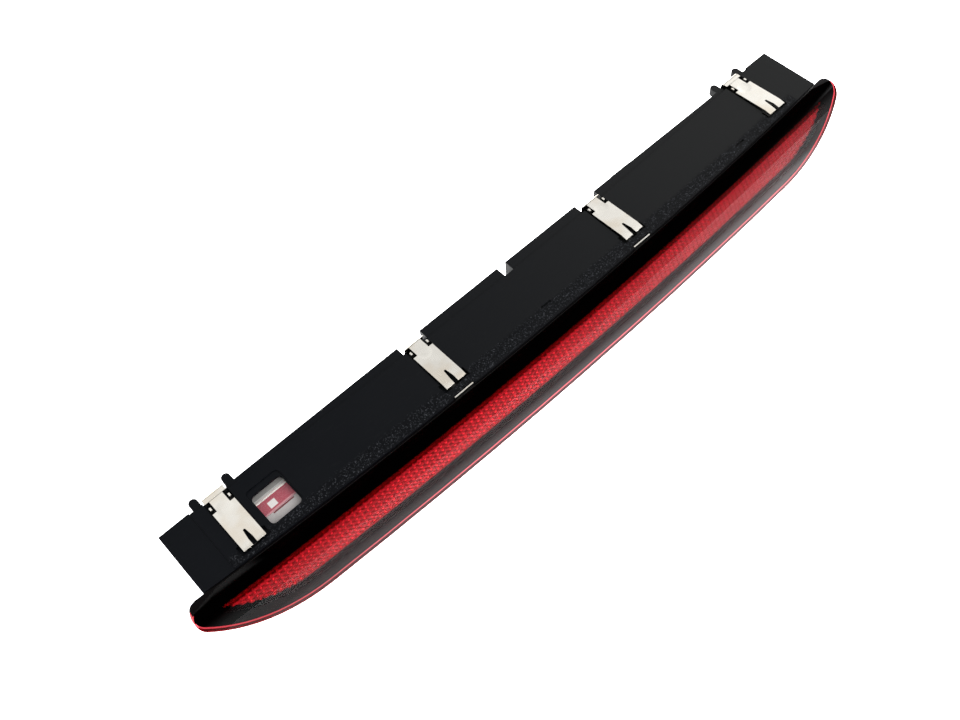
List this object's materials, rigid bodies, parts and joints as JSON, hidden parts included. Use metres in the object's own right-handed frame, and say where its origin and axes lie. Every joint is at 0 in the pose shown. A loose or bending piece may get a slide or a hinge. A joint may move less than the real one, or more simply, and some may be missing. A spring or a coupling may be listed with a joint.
{
  "type": "third brake light",
  "caption": "Long third brake light with a curved red lens, a black housing and sprung steel clips for a tailgate slot.",
  "frame": {"origin": "middle of the box round the lamp, at its lowest level", "axes": "+X along the lamp, -Y out through the lens, +Z towards the face that carries the clips"},
  "size_m": [0.506, 0.0801, 0.0346],
  "materials": {
    "black_housing": "satin",
    "red_lens": "gloss",
    "black_mask": "gloss",
    "red_optic": "gloss",
    "pink_optic": "satin",
    "bright_reflector": "metallised satin",
    "green_board": "satin",
    "lamp_package": "satin",
    "black_component": "matte",
    "can_metal": "satin",
    "screw_steel": "satin",
    "grey_plastic": "satin",
    "pin_brass": "satin",
    "seal_rubber": "matte",
    "membrane": "matte",
    "foam": "matte",
    "clear_pane": "gloss",
    "clip_steel": "bright"
  },
  "bodies": {
    "lamp": {"housing": "black_housing", "outer_lens": "red_lens", "lens_mask": "black_mask", "optic_strip": "red_optic", "inner_optic": "pink_optic", "reflector_bar": "bright_reflector", "circuit_board": "green_board", "diodes": "lamp_package", "resistors": "black_component", "capacitors": "can_metal", "driver_chips": "black_component", "board_screws": "screw_steel", "connector_shell": "grey_plastic", "connector_pins": "pin_brass", "connector_seal": "seal_rubber", "vent_cap": "grey_plastic", "vent_membrane": "membrane", "weld_bead": "grey_plastic", "edge_gasket": "foam", "window_pane": "clear_pane", "clip_base_1": "clip_steel", "clip_base_2": "clip_steel", "clip_base_3": "clip_steel", "clip_base_4": "clip_steel"},
    "leaf_1": {"clip_leaf_1": "clip_steel"},
    "leaf_2": {"clip_leaf_2": "clip_steel"},
    "leaf_3": {"clip_leaf_3": "clip_steel"},
    "leaf_4": {"clip_leaf_4": "clip_steel"}
  },
  "joints": [
    {"name": "leaf_1_press", "type": "hinge", "parent": "lamp", "child": "leaf_1", "pos_m": [-0.206, 0.03046, 0.033], "axis": [1, 0, 0], "range_deg": [0, 5], "stiffness_Nm_per_rad": 1.5},
    {"name": "leaf_2_press", "type": "hinge", "parent": "lamp", "child": "leaf_2", "pos_m": [-0.071, 0.02759, 0.033], "axis": [1, 0, 0], "range_deg": [0, 5], "stiffness_Nm_per_rad": 1.5},
    {"name": "leaf_3_press", "type": "hinge", "parent": "lamp", "child": "leaf_3", "pos_m": [0.071, 0.02759, 0.033], "axis": [1, 0, 0], "range_deg": [0, 5], "stiffness_Nm_per_rad": 1.5},
    {"name": "leaf_4_press", "type": "hinge", "parent": "lamp", "child": "leaf_4", "pos_m": [0.206, 0.03046, 0.033], "axis": [1, 0, 0], "range_deg": [0, 5], "stiffness_Nm_per_rad": 1.5}
  ]
}
